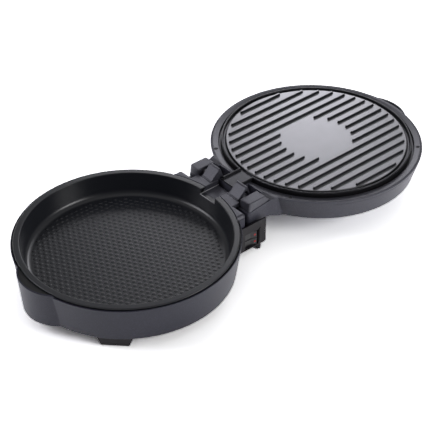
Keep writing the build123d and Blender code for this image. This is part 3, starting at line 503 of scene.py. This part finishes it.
def piece(name: str, made: bmesh.types.BMesh, finish: Finish, body: str) -> bpy.types.Object:
    """Turns a finished bmesh into a piece that rides on a body.

    Args:
        name: Name of the piece.
        made: Its mesh, in place; it is freed here.
        finish: The finish that it gets.
        body: The body that carries it.

    Returns:
        The piece.
    """
    mesh = bpy.data.meshes.new(name)
    made.to_mesh(mesh)
    made.free()
    mesh.materials.append(finish.material())
    shown = bpy.data.objects.new(name, mesh)
    bpy.context.scene.collection.objects.link(shown)
    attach(shown, body)
    LOG.info("%s: %d faces, %s", name, len(mesh.polygons), finish.name)
    return shown


@dataclass
class PanRelief:
    """Staggered low nubs all over the floor of the pan."""

    floor: float = 40.5 * MM
    column_pitch: float = 7.65 * MM
    row_pitch: float = 8.8 * MM
    nub_radius: float = 3.0 * MM
    nub_height: float = 0.55 * MM
    nub_sides: int = 10
    nub_layers: int = 6
    reach: float = 134.0 * MM

    def spread(self, made: bmesh.types.BMesh, offsets: list[Vector]) -> None:
        """Replaces what the mesh holds by one copy of it on each offset.

        Args:
            made: The mesh, which holds the shape that is copied.
            offsets: Where the copies go.
        """
        corners = list(made.verts)
        seed = corners + list(made.edges) + list(made.faces)
        for offset in offsets:
            copy = bmesh.ops.duplicate(made, geom=seed)["geom"]
            copied = [item for item in copy if isinstance(item, bmesh.types.BMVert)]
            bmesh.ops.translate(made, verts=copied, vec=offset)
        bmesh.ops.delete(made, geom=corners, context="VERTS")

    def stagger(self, column: int) -> float:
        """How far a column is shifted along Y: every other one by half a row."""
        return self.row_pitch / 2 * (column % 2)

    def build(self) -> bpy.types.Object:
        """Makes one nub, a column of it and then all columns, and keeps those inside the reach.

        Returns:
            The relief as one piece.
        """
        made = bmesh.new()
        bmesh.ops.create_uvsphere(
            made, u_segments=self.nub_sides, v_segments=self.nub_layers, radius=self.nub_radius
        )
        bmesh.ops.scale(made, verts=made.verts, vec=(1, 1, self.nub_height / self.nub_radius))
        rows = int(self.reach / self.row_pitch) + 1
        columns = int(self.reach / self.column_pitch) + 1
        self.spread(made, [Vector((0, row * self.row_pitch, 0)) for row in range(-rows, rows + 1)])
        self.spread(made, [
            Vector((column * self.column_pitch, self.stagger(column), self.floor))
            for column in range(-columns, columns + 1)
        ])
        far = [vert for vert in made.verts if self.is_outside(vert.co)]
        bmesh.ops.delete(made, geom=far, context="VERTS")
        bmesh.ops.translate(made, verts=made.verts, vec=(0, -HALF_OFFSET, 0))
        for face in made.faces:
            face.smooth = True
        return piece("pan_relief", made, PAN, "base")

    def is_outside(self, point: Vector) -> bool:
        """Whether the nub that holds a point stands beyond the reach."""
        column = round(point.x / self.column_pitch)
        shift = self.stagger(column)
        row = round((point.y - shift) / self.row_pitch)
        return math.hypot(column * self.column_pitch, row * self.row_pitch + shift) > self.reach


@dataclass
class NotchHighlightRod:
    """Thin rod along the front and the left foot of the rim notch, near white as a painted highlight of
    the notch edge.
    """

    half_width: float = 16.1 * MM
    front: float = -35.9 * MM
    back: float = 0.0
    level: float = 66.6 * MM
    radius: float = 0.55 * MM
    sides: int = 10

    def rod(self, made: bmesh.types.BMesh, start: Vector, end: Vector) -> None:
        """Adds a thin round rod between two points.

        Args:
            made: The mesh that gets the rod.
            start: One end.
            end: The other end.
        """
        along = end - start
        shaft = bmesh.ops.create_cone(
            made, cap_ends=True, segments=self.sides,
            radius1=self.radius, radius2=self.radius, depth=along.length,
        )["verts"]
        turn = along.to_track_quat("Z", "Y").to_matrix().to_4x4()
        bmesh.ops.transform(made, matrix=Matrix.Translation((start + end) / 2) @ turn, verts=shaft)

    def build(self) -> bpy.types.Object:
        """Lays one rod along the front of the notch and one along its left foot.

        Returns:
            The edge as one piece.
        """
        made = bmesh.new()
        corner = Vector((-self.half_width, self.front, self.level))
        self.rod(made, corner, Vector((self.half_width, self.front, self.level)))
        self.rod(made, corner, Vector((-self.half_width, self.back, self.level)))
        for face in made.faces:
            face.smooth = len(face.verts) == 4
        return piece("notch_highlight_rod", made, NOTCH_HIGHLIGHT, "base")


@dataclass
class Group:
    """Nodes that are dressed together."""

    finishes: dict[str, Finish] = field(default_factory=dict)

    def build(self) -> None:
        """Dresses the nodes in order."""
        for node, finish in self.finishes.items():
            dress(node, finish)


@dataclass
class BaseHalf(Group):
    """Shell, inner frame, rear deck and pan of the base."""

    finishes: dict[str, Finish] = field(default_factory=lambda: {
        "base_housing": SHELL, "base_frame": BLACK, "rear_deck": GREY, "base_pan": PAN,
    })
    relief: PanRelief = field(default_factory=PanRelief)
    # Rod with a painted highlight along the notch edge.
    highlight_rod: NotchHighlightRod = field(default_factory=NotchHighlightRod)

    def build(self) -> None:
        """Dresses the nodes and adds the relief and the rod with the painted highlight along the notch
        of the pan.
        """
        super().build()
        self.relief.build()
        self.highlight_rod.build()


@dataclass
class Underside(Group):
    """Cover, screws, feet and pads."""

    finishes: dict[str, Finish] = field(default_factory=lambda: {
        "bottom_cover": BOX, "base_screws": STEEL, "front_feet": BOX, "foot_pads": RUBBER,
        "rear_feet": BOX, "lid_rest_pads": RUBBER,
    })


@dataclass
class HingeBox(Group):
    """Box behind the base with the switches and the cord inlet."""

    finishes: dict[str, Finish] = field(default_factory=lambda: {
        "rear_box": BOX, "left_box_panel": BOX, "switch_bezel": BOX,
        "upper_rocker": ROCKER, "lower_rocker": ROCKER, "upper_lens": LENS, "lower_lens": LENS,
        "switch_modules": ROCKER, "terminal_block": TERMINAL, "cord_gland": RUBBER,
    })


@dataclass
class HingeLine(Group):
    """Hooked arms, pins and bearing blocks."""

    finishes: dict[str, Finish] = field(default_factory=lambda: {
        "left_hinge_arm": GREY, "right_hinge_arm": GREY,
        "left_hinge_block": GREY, "right_hinge_block": GREY, "hinge_pins": STEEL,
    })


@dataclass
class LidHalf(Group):
    """Shell, grey ring, plate and screws of the lid."""

    finishes: dict[str, Finish] = field(default_factory=lambda: {
        "lid_housing": LID_SHELL_PAINTED_LIGHT, "lid_frame": RING, "grill_plate": PLATE, "frame_screws": DARK_STEEL,
    })


@dataclass
class Heaters(Group):
    """Heating rings, reflectors and controls inside both halves."""

    finishes: dict[str, Finish] = field(default_factory=lambda: {
        "lower_element": TUBE, "upper_element": TUBE,
        "lower_element_clips": CERAMIC, "upper_element_clips": CERAMIC,
        "lower_reflector": SHEET, "upper_reflector": SHEET,
        "lower_thermostat": THERMOSTAT, "upper_thermostat": THERMOSTAT, "thermal_fuse": CERAMIC,
    })


@dataclass
class Floor:
    """White floor that keeps the shadow of the object."""

    half: float = 12.0
    drop: float = 0.02 * MM
    roughness: float = 0.9
    white: float = 0.8
    seen: float = 3.9

    def paint(self) -> bpy.types.Material:
        """White paint that shows brighter than it lights the object.

        Returns:
            The material of the floor.
        """
        made = bpy.data.materials.new("floor white")
        made.use_nodes = True
        graph = Graph(made.node_tree)
        shader = graph.tree.nodes["Principled BSDF"]
        shader.inputs["Roughness"].default_value = self.roughness
        shader.inputs["Specular IOR Level"].default_value = 0.0
        rays = graph.tree.nodes.new("ShaderNodeLightPath").outputs
        shown = graph.join("MAXIMUM", rays["Is Camera Ray"], rays["Is Glossy Ray"])
        shown = graph.join("MAXIMUM", shown, rays["Is Transmission Ray"])
        colour = graph.blend((self.white,) * 3 + (1,), (self.seen,) * 3 + (1,), shown)
        graph.feed(colour, shader.inputs["Base Color"])
        return made

    def build(self) -> bpy.types.Object:
        """Lays the floor just under the object.

        Returns:
            The floor.
        """
        made = bmesh.new()
        bmesh.ops.create_grid(made, x_segments=1, y_segments=1, size=self.half)
        bmesh.ops.translate(made, verts=made.verts, vec=(0, 0, -self.drop))
        mesh = bpy.data.meshes.new("floor")
        made.to_mesh(mesh)
        made.free()
        mesh.materials.append(self.paint())
        ground = bpy.data.objects.new("floor", mesh)
        bpy.context.scene.collection.objects.link(ground)
        return ground


@dataclass(frozen=True)
class Surroundings:
    """Soft light from all around: white low behind the object, darker towards the camera."""

    side: Step = Step(-0.8, 0.6, 0.08, 0.20, smooth=True)
    overhead: Step = Step(0.55, 0.95, 0.0, 0.15, smooth=True)
    behind: Step = Step(-0.1, 0.7, 0.0, 0.9, smooth=True)
    low: Step = Step(0.06, 0.26, 1.0, 0.0, smooth=True)

    def build(self, away: Vector) -> None:
        """Sets the surroundings up.

        Args:
            away: Level direction in which the camera looks.
        """
        world = bpy.data.worlds.new("studio")
        bpy.context.scene.world = world
        world.use_nodes = True
        graph = Graph(world.node_tree)
        around = graph.coordinates("Generated")
        facing = graph.vector_math("DOT_PRODUCT", around, away).outputs["Value"]
        height = graph.height(around)
        backdrop = graph.join("MULTIPLY", graph.ramp(facing, self.behind), graph.ramp(height, self.low))
        soft = graph.join("ADD", graph.ramp(facing, self.side), graph.ramp(height, self.overhead))
        background = graph.tree.nodes["Background"]
        background.inputs["Color"].default_value = (1, 1, 1, 1)
        graph.feed(graph.join("ADD", soft, backdrop), background.inputs["Strength"])


@dataclass(frozen=True)
class Lamp:
    """A soft lamp box that points at the object."""

    name: str
    place: Triple
    size: tuple[float, float]
    watts: float
    tint: Triple = PLAIN_LIGHT

    def build(self) -> None:
        """Hangs the lamp."""
        light = bpy.data.lights.new(self.name, "AREA")
        light.shape = "RECTANGLE"
        light.size, light.size_y = self.size
        light.energy = self.watts
        light.color = self.tint
        hung = bpy.data.objects.new(self.name, light)
        bpy.context.scene.collection.objects.link(hung)
        hung.location = self.place
        towards = Vector(LAMP_AIM) - Vector(self.place)
        hung.rotation_euler = towards.to_track_quat("-Z", "Y").to_euler()


LAMPS = (
    Lamp("rear box", (-1.31, 1.54, 1.20), (1.5, 0.8), 5.4, COOL_LIGHT),
    Lamp("plate light", (-0.82, 0.98, 0.68), (0.34, 0.30), 1.05, COOL_LIGHT),
    Lamp("right box", (1.80, 0.75, 0.90), (0.9, 1.0), 12),
    Lamp("left box", (-1.15, -1.50, 1.15), (0.9, 1.0), 9, COOL_LIGHT),
)


@dataclass
class Studio:
    """Floor, surroundings, lamps and camera."""

    eye: Vector = field(default_factory=lambda: Vector((1.2665, -1.1103, 1.2864)))
    target: Vector = field(default_factory=lambda: Vector((-0.0070, -0.0149, 0.0228)))
    lens: float = 118.4
    sensor: float = 36.0
    sight: float = 50.0

    def camera(self) -> None:
        """Camera at the viewing angle of the picture."""
        data = bpy.data.cameras.new("camera")
        data.lens = self.lens
        data.sensor_width = self.sensor
        data.clip_end = self.sight
        shot = bpy.data.objects.new("camera", data)
        bpy.context.scene.collection.objects.link(shot)
        shot.location = self.eye
        shot.rotation_euler = (self.target - self.eye).to_track_quat("-Z", "Y").to_euler()
        bpy.context.scene.camera = shot

    def build(self) -> None:
        """Sets the whole studio up."""
        away = self.target - self.eye
        away.z = 0
        away.normalize()
        Floor().build()
        Surroundings().build(away)
        for lamp in LAMPS:
            lamp.build()
        self.camera()
        bpy.context.scene.view_settings.view_transform = "Standard"


def main() -> None:
    """Builds every sub-assembly in order."""
    logging.basicConfig(level=logging.INFO, format="%(name)s: %(message)s")
    for group in (BaseHalf(), Underside(), HingeBox(), HingeLine(), LidHalf(), Heaters(), Studio()):
        LOG.info("building %s", type(group).__name__)
        group.build()


if __name__ == "__main__":
    main()
